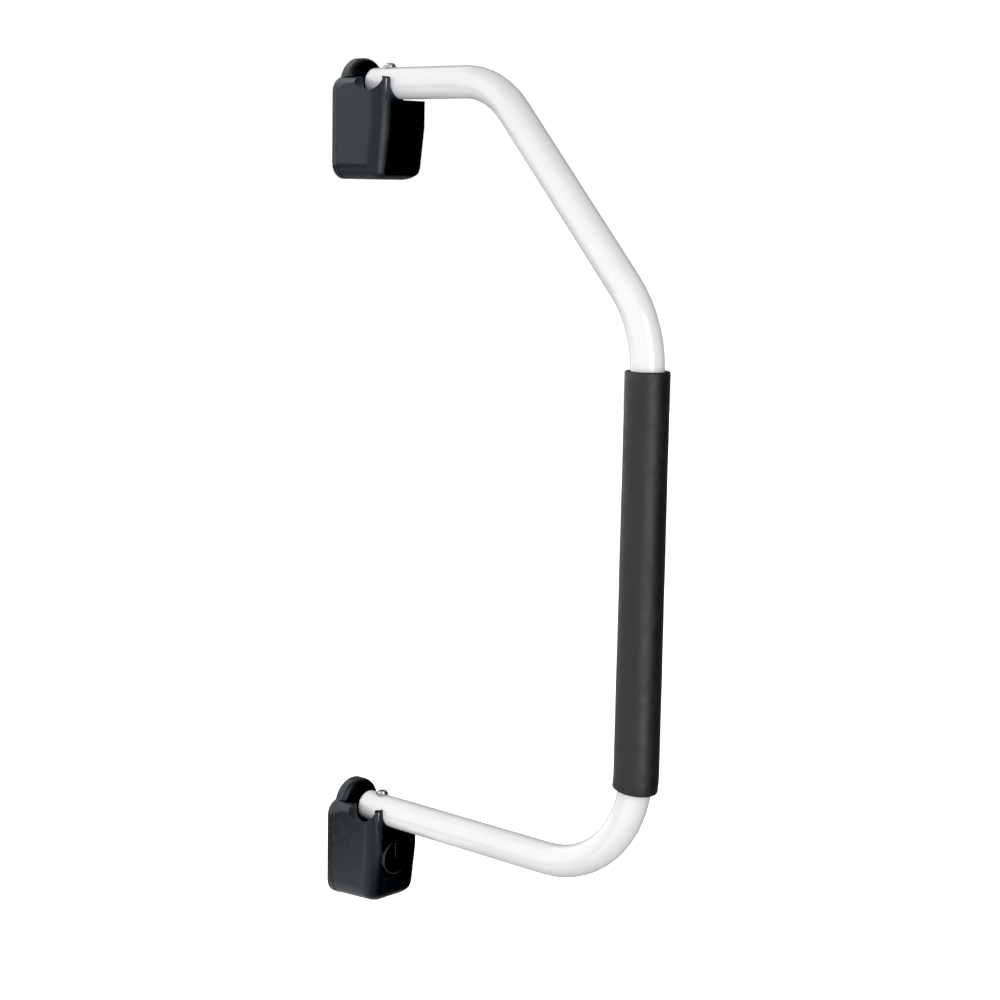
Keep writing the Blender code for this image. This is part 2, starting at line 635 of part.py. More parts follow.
def make_housing(prefix, pivot, black, with_lock):
    block = housing_block(prefix + "_housing", 0.0, HOUSING_BACK, LEDGE_HEIGHT)
    housing = add_object(prefix + "_housing", block, pivot, black)
    above = LEDGE_HEIGHT + 0.004
    cavity = housing_block(prefix + "_cavity", HOUSING_WALL, HOUSING_BACK + HOUSING_WALL, FLOOR_UNDERSIDE)
    cut(housing, cavity, pivot)
    boss = rod_mesh(
        prefix + "_pivot_boss", "Z", (0, 0, BOSS_END), BOSS_RADIUS, BOSS_LENGTH + FLOOR_THICKNESS / 2,
    )
    join(housing, boss, pivot)
    for side, label in ((-1, "left"), (1, "right")):
        screw_x = side * HOUSING_SCREW_SPREAD / 2
        bottom = -BODY_DEPTH_BELOW_TUBE
        screw_boss = rod_mesh(
            f"{prefix}_screw_boss_{label}", "Z", (screw_x, HOUSING_SCREW_DEPTH, bottom + HOUSING_WALL / 2),
            SCREW_BOSS_RADIUS, SCREW_BOSS_HEIGHT - HOUSING_WALL / 2, sides=16,
        )
        join(housing, screw_boss, pivot)
        head_room = HOUSING_SCREW_HEAD_HEIGHT + 2 * TOUCH_GAP
        shank_radius = HOUSING_SCREW_DIAMETER / 2 + BOLT_CLEARANCE
        head_radius = HOUSING_SCREW_HEAD_DIAMETER / 2 + BOLT_CLEARANCE
        screw_hole = turned_mesh(
            f"{prefix}_screw_hole_{label}", "Z", (screw_x, HOUSING_SCREW_DEPTH, bottom),
            [
                (0, -0.002), (head_radius, -0.002), (head_radius, head_room),
                (shank_radius, head_room), (shank_radius, 0.02), (0, 0.02),
            ],
            sides=16,
        )
        cut(housing, screw_hole, pivot)
        hook_x = side * HOOK_SPREAD / 2
        half = HOOK_WIDTH / 2 + HOOK_SIDE_CLEARANCE
        lip_front = PLATE_FRONT - HOOK_REACH
        rise = HOOK_LIP_HEIGHT - HOOK_STEM_HEIGHT
        window_top = HOOK_TOP_LEVEL + rise
        pocket = box_mesh(
            f"{prefix}_hook_pocket_{label}",
            (hook_x - half, lip_front - HOOK_SIDE_CLEARANCE, FLOOR_UNDERSIDE - 0.001),
            (hook_x + half, lip_front + HOOK_LIP_THICKNESS + TOUCH_GAP, window_top),
        )
        cut(housing, pocket, pivot)
        inset = HOOK_SIDE_CLEARANCE / 4
        window = box_mesh(
            f"{prefix}_hook_window_{label}",
            (hook_x - half + inset, lip_front, HOOK_TOP_LEVEL - HOOK_STEM_HEIGHT - TOUCH_GAP),
            (hook_x + half - inset, HOUSING_BACK + HOUSING_WALL, window_top - inset),
        )
        cut(housing, window, pivot)
    swing_space = prism_mesh(prefix + "_swing_space", swing_space_outline(), FLOOR_LEVEL, above, "Z")
    cut(housing, swing_space, pivot)
    for side, label in ((-1, "left"), (1, "right")):
        shoulder = [(side * x, z) for x, z in shoulder_trim_outline()]
        cut(housing, prism_mesh(
            f"{prefix}_shoulder_trim_{label}", shoulder, SEAT_OFFSET, HOUSING_BACK + HOUSING_WALL, "Y",
        ), pivot)
    front_slot = prism_mesh(
        prefix + "_front_slot", front_slot_outline(), -2 * FRONT_FACE, -SLOT_HALF / 2, "Y",
    )
    cut(housing, front_slot, pivot)
    side_seat = rod_mesh(
        prefix + "_side_seat", "X", (-BRACKET_WIDTH, SEAT_OFFSET, SEAT_HEIGHT), SLOT_HALF,
        BRACKET_WIDTH - TAIL_SWEEP_RADIUS / 2, sides=32,
    )
    cut(housing, side_seat, pivot)
    washer_seat = rod_mesh(
        prefix + "_washer_seat", "Z", (0, 0, WASHER_SEAT), THRUST_WASHER_DIAMETER / 2 + TOUCH_GAP,
        TUBE_RADIUS,
    )
    cut(housing, washer_seat, pivot)
    bush_hole = rod_mesh(
        prefix + "_bush_hole", "Z", (0, 0, BOSS_END - 0.002), BUSH_DIAMETER / 2 + TOUCH_GAP,
        BOSS_LENGTH + FLOOR_THICKNESS + 0.004,
    )
    cut(housing, bush_hole, pivot)
    if with_lock:
        guide_hole = rod_mesh(
            "lock_bolt_guide", "Z", (0, BOLT_OFFSET, BOSS_END - 0.002),
            BOLT_PIN_DIAMETER / 2 + BOLT_CLEARANCE, BOSS_LENGTH + FLOOR_THICKNESS + 0.004, sides=16,
        )
        cut(housing, guide_hole, pivot)
        seat = rod_mesh(
            "knob_seat", "Y", (0, -FRONT_FACE, LOCK_LEVEL), KNOB_DIAMETER / 2, HOUSING_WALL, sides=32,
        )
        join(housing, seat, pivot)
        shaft_hole = rod_mesh(
            "knob_shaft_hole", "Y", (0, -FRONT_FACE - 0.002, LOCK_LEVEL),
            KNOB_SHAFT_DIAMETER / 2 + TOUCH_GAP, 3 * HOUSING_WALL,
        )
        cut(housing, shaft_hole, pivot)


def make_pivot_hardware(prefix, pivot, steel, zinc, brass, nylon, axis_empty):
    """The bolt that the tube turns on, with its washers, bush, disc spring and nut."""
    shank = PIVOT_BOLT_DIAMETER / 2
    head = PIVOT_HEAD_DIAMETER / 2
    head_base = HEAD_WASHER_TOP + TOUCH_GAP
    crown = head_base + PIVOT_HEAD_HEIGHT
    drive = PIVOT_DRIVE_WIDTH / 2
    profile = [(0, PIVOT_BOLT_END), (shank - 0.0006, PIVOT_BOLT_END), (shank, PIVOT_BOLT_END + 0.0006)]
    profile += [(shank, head_base), (head, head_base), (head, head_base + 0.0008)]
    profile += [(head * 0.86, head_base + 0.0021), (drive + 0.0008, crown), (0, crown)]
    bolt = add_object(
        prefix + "_pivot_bolt", turned_mesh(prefix + "_pivot_bolt", "Z", (0, 0, 0), profile, sides=20),
        pivot, steel,
    )
    socket = rod_mesh(
        prefix + "_bolt_socket", "Z", (0, 0, crown - PIVOT_DRIVE_DEPTH), drive,
        PIVOT_DRIVE_DEPTH + 0.001, sides=6,
    )
    cut(bolt, socket, pivot)

    def ring(name, low, thickness, outer, material, inner=BOLT_HOLE_RADIUS, sides=20):
        profile = [(inner, 0), (outer, 0), (outer, thickness), (inner, thickness)]
        mesh = turned_mesh(f"{prefix}_{name}", "Z", (0, 0, low), profile, sides)
        return add_object(f"{prefix}_{name}", mesh, pivot, material)

    washer = ring(
        "head_washer", TUBE_RADIUS + TOUCH_GAP, HEAD_WASHER_THICKNESS, HEAD_WASHER_DIAMETER / 2, steel,
    )
    ring(
        "thrust_washer", WASHER_SEAT + TOUCH_GAP, THRUST_WASHER_THICKNESS, THRUST_WASHER_DIAMETER / 2, nylon,
    )
    bush_length = WASHER_SEAT - BOSS_END
    ring("pivot_bush", BOSS_END, bush_length, BUSH_DIAMETER / 2, brass, sides=24)
    cone = [
        (BOLT_HOLE_RADIUS, DISC_SPRING_END), (DISC_SPRING_DIAMETER / 2, DISC_SPRING_END + DISC_SPRING_RISE),
        (DISC_SPRING_DIAMETER / 2, DISC_SPRING_END + DISC_SPRING_RISE + DISC_SPRING_THICKNESS),
        (BOLT_HOLE_RADIUS, DISC_SPRING_END + DISC_SPRING_THICKNESS),
    ]
    spring = add_object(
        prefix + "_disc_spring", turned_mesh(prefix + "_disc_spring", "Z", (0, 0, 0), cone, sides=20),
        pivot, steel,
    )
    nut_radius = NUT_WIDTH / 2 / math.cos(math.radians(30))
    nut = add_object(
        prefix + "_lock_nut",
        rod_mesh(
            prefix + "_lock_nut", "Z", (0, 0, NUT_END + NUT_COLLAR_HEIGHT), nut_radius,
            NUT_HEIGHT - NUT_COLLAR_HEIGHT, sides=6,
        ),
        pivot, zinc,
    )
    collar = rod_mesh(
        prefix + "_nut_collar", "Z", (0, 0, NUT_END), NUT_WIDTH / 2 * 0.9, NUT_HEIGHT / 2, sides=20,
    )
    join(nut, collar, pivot)
    thread = rod_mesh(
        prefix + "_nut_thread", "Z", (0, 0, NUT_END - 0.001), PIVOT_BOLT_DIAMETER / 2 + TOUCH_GAP,
        NUT_HEIGHT + 0.002, sides=20,
    )
    cut(nut, thread, pivot)
    hang_on(axis_empty, bolt, washer, spring, nut)


def make_housing_screws(prefix, pivot, zinc):
    """Pan-head screws that hold the housing's foot to the lugs of the wall plate."""
    head = HOUSING_SCREW_HEAD_DIAMETER / 2
    shank = HOUSING_SCREW_DIAMETER / 2
    head_low = -BODY_DEPTH_BELOW_TUBE + TOUCH_GAP
    head_top = head_low + HOUSING_SCREW_HEAD_HEIGHT
    tip = head_top + HOUSING_SCREW_LENGTH
    profile = [(0, head_low), (head * 0.75, head_low), (head, head_low + 0.0009), (head, head_top)]
    profile += [(shank, head_top), (shank, tip - 0.002), (0.0006, tip), (0, tip)]
    for side, label in ((-1, "left"), (1, "right")):
        place = (side * HOUSING_SCREW_SPREAD / 2, HOUSING_SCREW_DEPTH, 0)
        name = f"{prefix}_housing_screw_{label}"
        screw = add_object(name, turned_mesh(name, "Z", place, profile, sides=16), pivot, zinc)
        drive = box_mesh(
            name + "_drive",
            (place[0] - HOUSING_SCREW_DRIVE, place[1] - 0.0005, head_low - 0.001),
            (place[0] + HOUSING_SCREW_DRIVE, place[1] + 0.0005, head_low + 0.0012),
        )
        cut(screw, drive, pivot)


def make_lock(black, steel, zinc, turn_empty, slide_empty):
    """The knob in the lower housing's front wall, whose crank lifts a bolt into the tube's tail."""
    pivot = LOWER_PIVOT
    centre = (0, 0, LOCK_LEVEL)
    disc = KNOB_DIAMETER / 2
    shaft = KNOB_SHAFT_DIAMETER / 2
    back = -FRONT_FACE - TOUCH_GAP
    face = back - KNOB_HEIGHT
    rim = arc((disc - KNOB_EDGE_RADIUS, face + KNOB_EDGE_RADIUS), KNOB_EDGE_RADIUS, -90, 0, 4)
    profile = [(0, face)] + rim + [(disc, back), (shaft, back), (shaft, SHAFT_END), (0, SHAFT_END)]
    knob = add_object("lock_knob", turned_mesh("lock_knob", "Y", centre, profile, sides=36), pivot, black)
    ridge = box_mesh(
        "knob_ridge",
        (-KNOB_RIDGE_WIDTH / 2, face - KNOB_RIDGE_HEIGHT, LOCK_LEVEL),
        (KNOB_RIDGE_WIDTH / 2, face + KNOB_HEIGHT / 2, LOCK_LEVEL + KNOB_RIDGE_LENGTH),
    )
    join(knob, round_front_edges(ridge, KNOB_RIDGE_DRAFT), pivot)
    mark = rod_mesh(
        "knob_mark", "Y", (KNOB_MARK_OFFSET, face - KNOB_MARK_HEIGHT, LOCK_LEVEL), KNOB_MARK_DIAMETER / 2,
        KNOB_HEIGHT / 2, sides=20,
    )
    join(knob, mark, pivot)
    dimple = rod_mesh(
        "knob_dimple", "Y", (KNOB_MARK_OFFSET, face - KNOB_DIMPLE_DEPTH, LOCK_LEVEL),
        KNOB_DIMPLE_DIAMETER / 2, 2 * KNOB_DIMPLE_DEPTH, end_radius=KNOB_DIMPLE_DIAMETER / 4, sides=16,
    )
    cut(knob, dimple, pivot)
    tapping = rod_mesh(
        "crank_screw_tapping", "Y", (0, SHAFT_END - CRANK_SCREW_LENGTH, LOCK_LEVEL),
        CRANK_SCREW_DIAMETER / 2 + TOUCH_GAP, CRANK_SCREW_LENGTH + 0.001, sides=12,
    )
    cut(knob, tapping, pivot)

    crank = add_object(
        "lock_crank",
        rod_mesh("lock_crank", "Y", (0, CRANK_FRONT, LOCK_LEVEL), CRANK_DIAMETER / 2, CRANK_THICKNESS),
        pivot, zinc,
    )
    pin_start = CRANK_BACK - CRANK_THICKNESS / 2
    pin = rod_mesh(
        "crank_pin", "Y", (CRANK_PIN_SIDE, pin_start, LOCK_LEVEL - CRANK_PIN_DROP), CRANK_PIN_DIAMETER / 2,
        BOLT_PLATE_BACK - pin_start, sides=12,
    )
    join(crank, pin, pivot)
    crank_hole = rod_mesh(
        "crank_hole", "Y", (0, CRANK_FRONT - 0.001, LOCK_LEVEL), CRANK_SCREW_DIAMETER / 2 + TOUCH_GAP,
        CRANK_THICKNESS + 0.002, sides=12,
    )
    cut(crank, crank_hole, pivot)
    shank = CRANK_SCREW_DIAMETER / 2
    head = CRANK_SCREW_HEAD_DIAMETER / 2
    head_base = CRANK_BACK + TOUCH_GAP
    head_top = head_base + CRANK_SCREW_HEAD_HEIGHT
    tip = SHAFT_END - CRANK_SCREW_LENGTH + TOUCH_GAP
    crank_screw = add_object(
        "lock_crank_screw",
        turned_mesh(
            "lock_crank_screw", "Y", centre,
            [
                (0, tip), (shank, tip), (shank, head_base), (head, head_base),
                (head, head_top - CRANK_SCREW_HEAD_HEIGHT * 0.4), (head * 0.7, head_top), (0, head_top),
            ],
            sides=12,
        ),
        pivot, zinc,
    )
    hang_on(turn_empty, knob, crank, crank_screw)

    slot_level = LOCK_LEVEL - CRANK_PIN_DROP
    plate_top = slot_level + BOLT_PLATE_HEIGHT / 2
    bolt = add_object(
        "lock_bolt",
        box_mesh(
            "lock_bolt",
            (-BOLT_PLATE_WIDTH / 2, BOLT_PLATE_FRONT, slot_level - BOLT_PLATE_HEIGHT / 2),
            (BOLT_PLATE_WIDTH / 2, BOLT_PLATE_BACK, plate_top),
        ),
        pivot, steel,
    )
    bolt_pin = turned_mesh(
        "lock_bolt_pin", "Z", (0, BOLT_OFFSET, 0),
        [
            (0, plate_top - 0.004), (BOLT_PIN_DIAMETER / 2, plate_top - 0.004),
            (BOLT_PIN_DIAMETER / 2, BOLT_PIN_TOP - 0.001), (BOLT_PIN_DIAMETER / 2 - 0.001, BOLT_PIN_TOP),
            (0, BOLT_PIN_TOP),
        ],
        sides=16,
    )
    join(bolt, bolt_pin, pivot)
    pin_room = CRANK_PIN_DIAMETER / 2 + CRANK_SLOT_CLEARANCE
    slot = box_mesh(
        "crank_slot",
        (CRANK_PIN_SIDE - pin_room, BOLT_PLATE_FRONT - 0.001, slot_level - pin_room),
        (CRANK_ARM + pin_room, BOLT_PLATE_BACK + 0.001, slot_level + pin_room),
    )
    cut(bolt, slot, pivot)
    hang_on(slide_empty, bolt)


def main():
    clear_scene()
    white = make_material("white_powder_coat", (0.86, 0.86, 0.85), 0.28)
    cap_white = make_material("white_cap_plastic", (0.80, 0.80, 0.79), 0.45)
    black = make_material("black_glass_filled_nylon", (0.018, 0.019, 0.020), 0.42)
    foam = make_material("black_foam", (0.020, 0.021, 0.022), 0.85)
    steel = make_material("stainless_steel", (0.62, 0.62, 0.61), 0.25, 1.0)
    zinc = make_material("zinc_plated_steel", (0.55, 0.55, 0.53), 0.35, 1.0)
    brass = make_material("brass", (0.60, 0.45, 0.20), 0.35, 1.0)
    nylon = make_material("natural_nylon", (0.70, 0.69, 0.63), 0.5)
    rail_axis = make_axis_empty("rail_swing_axis", LOWER_PIVOT)
    lock_axis = make_axis_empty("lock_turn_axis", LOWER_PIVOT + Vector((0, 0, LOCK_LEVEL)))
    bolt_axis = make_axis_empty("lock_slide_axis", LOWER_PIVOT + Vector((0, BOLT_OFFSET, 0)))
    make_rail(white, foam, cap_white, rail_axis)
    for prefix, pivot in (("lower", LOWER_PIVOT), ("upper", UPPER_PIVOT)):
        make_wall_plate(prefix, pivot, black)
        make_housing(prefix, pivot, black, with_lock=prefix == "lower")
        make_housing_screws(prefix, pivot, zinc)
        make_pivot_hardware(prefix, pivot, steel, zinc, brass, nylon, rail_axis)
    make_lock(black, steel, zinc, lock_axis, bolt_axis)


main()
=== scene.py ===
"""Looks, light and camera for the folding entry assist handrail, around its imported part."""

import json
import math

import bmesh
import bpy
from mathutils import Matrix, Vector

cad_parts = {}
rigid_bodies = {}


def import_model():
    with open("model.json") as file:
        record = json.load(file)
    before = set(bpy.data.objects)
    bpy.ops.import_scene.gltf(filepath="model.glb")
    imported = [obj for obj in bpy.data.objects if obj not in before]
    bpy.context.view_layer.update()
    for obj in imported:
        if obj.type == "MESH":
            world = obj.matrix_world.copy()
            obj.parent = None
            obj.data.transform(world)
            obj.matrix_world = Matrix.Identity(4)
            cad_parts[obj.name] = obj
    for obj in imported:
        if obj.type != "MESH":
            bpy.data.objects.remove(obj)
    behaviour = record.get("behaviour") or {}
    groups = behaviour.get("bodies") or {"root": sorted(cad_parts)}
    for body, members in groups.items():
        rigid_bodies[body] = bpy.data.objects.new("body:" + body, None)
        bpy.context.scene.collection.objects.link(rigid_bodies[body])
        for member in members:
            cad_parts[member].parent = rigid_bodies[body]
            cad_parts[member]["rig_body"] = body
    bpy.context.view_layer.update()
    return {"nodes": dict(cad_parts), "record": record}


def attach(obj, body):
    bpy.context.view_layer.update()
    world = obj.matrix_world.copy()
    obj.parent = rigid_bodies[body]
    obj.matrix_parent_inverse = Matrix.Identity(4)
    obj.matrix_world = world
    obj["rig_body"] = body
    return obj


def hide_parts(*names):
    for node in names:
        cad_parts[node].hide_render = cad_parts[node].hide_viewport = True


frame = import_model()

MM = 0.001

# Camera: where the photograph was taken from, for its frame of 1000 x 1000
CAMERA_PLACE = Vector((-1.4532, -1.5299, 0.6226))
CAMERA_AZIMUTH = math.radians(47.40)
CAMERA_FALL = math.radians(8.49)
CAMERA_ROLL = math.radians(1.05)
CAMERA_LENS = 77.66
CAMERA_SENSOR = 36.0
CAMERA_NEAR = 0.01
CAMERA_FAR = 100.0

# The photograph's contrast: what is darker than this comes out black
BLACK_POINT = 0.008

# Foam sleeve, along the rail's centre line from its upper end
GRIP_LINE_Y = -0.364
GRIP_TOP = 0.460
LOWER_BEND_RADIUS = 0.103
GRIP_FOOT_RUN = 15.5 * MM
GRIP_TOP_RADIUS = 19.85 * MM
GRIP_FOOT_RADIUS = 20.45 * MM
GRIP_BORE_RADIUS = 15.25 * MM
GRIP_SIDES = 96
GRIP_STEPS = 60
# From its top to its foot the sleeve gets thicker, faster towards the foot
GRIP_SPREAD = 1.3
# Pushed on by hand, the foam is bunched a little more in some places than in others:
# height of each swell, its turns along the sleeve and where it starts, both in radians
GRIP_BUNCHES = ((0.05 * MM, 19.0, 0.0), (0.04 * MM, 43.0, 1.0))
# From the bore to the skin at one end of the sleeve, as depth from the end and distance outwards,
# both in mm. The rim bulges a little over the cut face.
BORE_MOUTH = ((14, 0.0), (1.0, 0.0), (0.25, 0.25), (0.0, 0.9))
OUTER_RIM = ((-0.15, -2.2), (0.0, -1.0), (0.35, -0.35), (1.1, 0.0))
# A face of the sleeve that looks up or down more than this is one of its two cut ends
CUT_END_UPRIGHT = 0.8

# Smoothing of the moulded, bent and turned pieces
MERGE_DISTANCE = 0.002 * MM
FLAT_ANGLE = math.radians(0.4)
CREASE_ANGLE = math.radians(38)

# Where most values of a noise texture lie
NOISE_SPAN = {"From Min": 0.35, "From Max": 0.65}

# Floor, well below the rail. It glows, so that it stays as pale as the background.
FLOOR_LEVEL = -0.55
FLOOR_RADIUS = 9.0
FLOOR_SIDES = 96
FLOOR_GLOW = 0.9

# The studio, as soft patches of light. Sides are the patch's middle, in degrees to the
# photographer's right, then how far from it the light is still full and where it is gone, or None
# for all round. The edges are heights, from -1 straight below to 1 straight above.
STUDIO_PATCHES = (
    # sides            lower edge       upper edge       strength
    # mid, full, gone  gone, full       full, gone
    ((-108, 30, 62), (-0.28, -0.10), (0.60, 0.90), 1.45),   # pale wall, left
    ((-85, 20, 48), (-0.80, -0.60), (-0.46, -0.35), 0.60),  # pale table, left
    ((-25, 15, 50), (-0.90, -0.50), (0.60, 0.90), 0.85),    # room, in front
    ((180, 40, 72), (-0.90, -0.50), (0.60, 0.90), 0.18),    # backdrop
    (None, (0.35, 0.85), (2.0, 3.0), 0.45),                 # ceiling
    (None, (-3.0, -2.0), (-0.75, -0.45), 0.38),             # floor
)
EVEN_LIGHT = 0.03
BACKGROUND_WHITE = 1.05


def linear(hex_colour):
    """An sRGB hex value as the linear colour that a shader takes."""
    channels = [int(hex_colour[i:i + 2], 16) / 255 for i in (1, 3, 5)]
    return [c / 12.92 if c <= 0.04045 else ((c + 0.055) / 1.055) ** 2.4 for c in channels] + [1.0]


def add(tree, kind, settings=None, links=None):
    """Adds a shader node with its links and its settings, by input name, number or property."""
    node = tree.nodes.new("ShaderNode" + kind)
    for name, value in (settings or {}).items():
        if isinstance(name, int) or name in node.inputs:
            node.inputs[name].default_value = value
        else:
            setattr(node, name, value)
    for name, socket in (links or {}).items():
        tree.links.new(socket, node.inputs[name])
    return node


def finish(name, tones, cloud, gloss, patch, grain, relief):
    """A material whose colour drifts between two tones, and its roughness between two values.
    Cloud and patch are the sizes of those drifts, grain is the spacing of the surface's texture
    and relief its height, all in metres. Gives the material, its tree, shader and coordinates."""
    material = bpy.data.materials.new(name)
    material.use_nodes = True
    tree = material.node_tree
    tree.nodes.clear()
    place = add(tree, "TexCoord").outputs["Object"]
    drift = add(tree, "TexNoise", {"Scale": 1 / cloud, "Detail": 3.0}, {"Vector": place})
    share = add(tree, "MapRange", NOISE_SPAN, {"Value": drift.outputs["Fac"]})
    blend = {"data_type": "RGBA", 6: linear(tones[0]), 7: linear(tones[1])}
    colour = add(tree, "Mix", blend, {0: share.outputs["Result"]})
    dull = add(tree, "TexNoise", {"Scale": 1 / patch, "Detail": 2.0}, {"Vector": place})
    span = {**NOISE_SPAN, "To Min": gloss[0], "To Max": gloss[1]}
    rough = add(tree, "MapRange", span, {"Value": dull.outputs["Fac"]})
    texture = add(tree, "TexNoise", {"Scale": 1 / grain, "Detail": 2.0}, {"Vector": place})
    bump = add(tree, "Bump", {"Distance": relief}, {"Height": texture.outputs["Fac"]})
    shader = add(tree, "BsdfPrincipled", {}, {
        "Base Color": colour.outputs[2],
        "Roughness": rough.outputs["Result"],
        "Normal": bump.outputs["Normal"],
    })
    add(tree, "OutputMaterial", {}, {"Surface": shader.outputs["BSDF"]})
    return material, tree, shader, place


def lay_under(tree, shader, relief):
    """Puts one more relief under the surface texture that a finish has already."""
    texture = shader.inputs["Normal"].links[0].from_node
    tree.links.new(relief.outputs["Normal"], texture.inputs["Normal"])


def powder_coat():
    """White polyester powder coat, sprayed and baked on steel tube: glossy, with an orange peel of
    faint waves 2.4 mm apart. Its skin of clear resin reflects sharply at a low angle."""
    material, _, shader, _ = finish(
        "white_powder_coat", ("#F1F1F3", "#EDEDF0"),
        cloud=60 * MM, gloss=(0.16, 0.22), patch=18 * MM, grain=2.4 * MM, relief=0.012 * MM,
    )
    shader.inputs["IOR"].default_value = 1.52
    shader.inputs["Coat Weight"].default_value = 0.6
    shader.inputs["Coat Roughness"].default_value = 0.06
    return material


def moulded_nylon():
    """Black glass-filled nylon from a spark-eroded mould: deep black, with a low sheen. The grain
    of the mould is about 0.15 mm, and is drawn at 0.35 mm, so that a close view still shows it.
    The walls swell slowly where the moulding sank over its ribs and bosses, which breaks the
    reflections. Fine carbon black scatters a little more blue than red, so the sheen is slate."""
    material, tree, shader, place = finish(
        "black_moulded_nylon", ("#08090A", "#0B0C0D"),
        cloud=14 * MM, gloss=(0.30, 0.38), patch=5 * MM, grain=0.35 * MM, relief=0.010 * MM,
    )
    swell = add(tree, "TexNoise", {"Scale": 1 / (22 * MM), "Detail": 1.0}, {"Vector": place})
    sink = add(tree, "Bump", {"Distance": 0.10 * MM}, {"Height": swell.outputs["Fac"]})
    lay_under(tree, shader, sink)
    shader.inputs["IOR"].default_value = 1.57
    shader.inputs["Specular Tint"].default_value = linear("#E6F3FA")
    return material


def foam_skin():
    """Black closed-cell foam with its extruded skin: matt, with fine cells under the skin, which
    are about 0.3 mm and are drawn at 0.7 mm to show. The skin swells softly along the sleeve."""
    material, tree, shader, place = finish(
        "black_foam_skin", ("#151515", "#1A1A1A"),
        cloud=26 * MM, gloss=(0.46, 0.56), patch=9 * MM, grain=2.2 * MM, relief=0.02 * MM,
    )
    cells = add(tree, "TexVoronoi", {"Scale": 1 / (0.7 * MM)}, {"Vector": place})
    pores = add(tree, "Bump", {"Distance": 0.02 * MM}, {"Height": cells.outputs["Distance"]})
    swell = add(tree, "TexNoise", {"Scale": 1 / (16 * MM), "Detail": 1.0}, {"Vector": place})
    over_pores = {"Height": swell.outputs["Fac"], "Normal": pores.outputs["Normal"]}
    soft = add(tree, "Bump", {"Distance": 0.12 * MM}, over_pores)
    lay_under(tree, shader, soft)
    shader.inputs["IOR"].default_value = 1.58
    return material


def foam_cut():
    """The same foam where a knife cut it: duller and greyer, with open cells of about 0.4 mm. They
    are drawn at 0.8 mm."""
    material, tree, shader, place = finish(
        "black_foam_cut", ("#0C0C0C", "#161616"),
        cloud=4 * MM, gloss=(0.80, 0.90), patch=3 * MM, grain=1.5 * MM, relief=0.05 * MM,
    )
    cells = add(tree, "TexVoronoi", {"Scale": 1 / (0.8 * MM)}, {"Vector": place})
    pores = add(tree, "Bump", {"Distance": 0.15 * MM}, {"Height": cells.outputs["Distance"]})
    lay_under(tree, shader, pores)
    return material


def moulded_white():
    """White polypropylene, moulded: the tube's end caps, satin beside the coat's gloss."""
    material, _, shader, _ = finish(
        "white_moulded_cap", ("#EDEDED", "#E8E8E9"),
        cloud=8 * MM, gloss=(0.32, 0.40), patch=3 * MM, grain=0.5 * MM, relief=0.006 * MM,
    )
    shader.inputs["IOR"].default_value = 1.49
    return material


def metal(name, tones, gloss, grit):
    """A bare or plated metal with the fine marks of its making, whose spacing is the grit."""
    material, _, shader, _ = finish(
        name, tones, cloud=6 * MM, gloss=gloss, patch=2 * MM, grain=grit, relief=0.004 * MM,
    )
    shader.inputs["Metallic"].default_value = 1.0
    return material


def sheet_nylon():
    """Uncoloured nylon, punched from sheet: creamy, and slightly see-through at its edge."""
    material, _, shader, _ = finish(
        "natural_sheet_nylon", ("#E3DFD0", "#D9D4C2"),
        cloud=4 * MM, gloss=(0.40, 0.50), patch=1.5 * MM, grain=0.4 * MM, relief=0.004 * MM,
    )
    shader.inputs["Subsurface Weight"].default_value = 0.15
    shader.inputs["Subsurface Radius"].default_value = (1.0, 0.9, 0.7)
    shader.inputs["Subsurface Scale"].default_value = 0.6 * MM
    return material


def smooth_copy(node, name, material):
    """A merged copy of a CAD node, smoothly shaded inside its creases, which stands for it."""
    source = frame["nodes"][node]
    bm = bmesh.new()
    bm.from_mesh(source.data)
    bmesh.ops.remove_doubles(bm, verts=bm.verts, dist=MERGE_DISTANCE)
    bmesh.ops.dissolve_degenerate(bm, edges=bm.edges, dist=MERGE_DISTANCE)
    bmesh.ops.dissolve_limit(bm, angle_limit=FLAT_ANGLE, verts=bm.verts, edges=bm.edges)
    for face in bm.faces:
        face.smooth = True
        face.material_index = 0
    for edge in bm.edges:
        edge.smooth = edge.is_manifold and edge.calc_face_angle(0.0) < CREASE_ANGLE
    mesh = bpy.data.meshes.new(name)
    bm.to_mesh(mesh)
    bm.free()
    # Normals that came with the CAD mesh would keep its facets visible
    if "custom_normal" in mesh.attributes:
        mesh.attributes.remove(mesh.attributes["custom_normal"])
    piece = bpy.data.objects.new(name, mesh)
    bpy.context.scene.collection.objects.link(piece)
    mesh.materials.append(material)
    weighted = piece.modifiers.new("even_normals", "WEIGHTED_NORMAL")
    weighted.keep_sharp = True
    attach(piece, source["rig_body"])
    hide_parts(node)
    return piece


def grip_place(run):
    """The centre and turn of the foam sleeve, a run below its upper end."""
    straight = GRIP_TOP - LOWER_BEND_RADIUS
    if run <= straight:
        return Vector((0, GRIP_LINE_Y, GRIP_TOP - run)), 0.0
    turn = (run - straight) / LOWER_BEND_RADIUS
    centre = Vector((0, GRIP_LINE_Y + LOWER_BEND_RADIUS, LOWER_BEND_RADIUS))
    return centre + LOWER_BEND_RADIUS * Vector((0, -math.cos(turn), -math.sin(turn))), turn


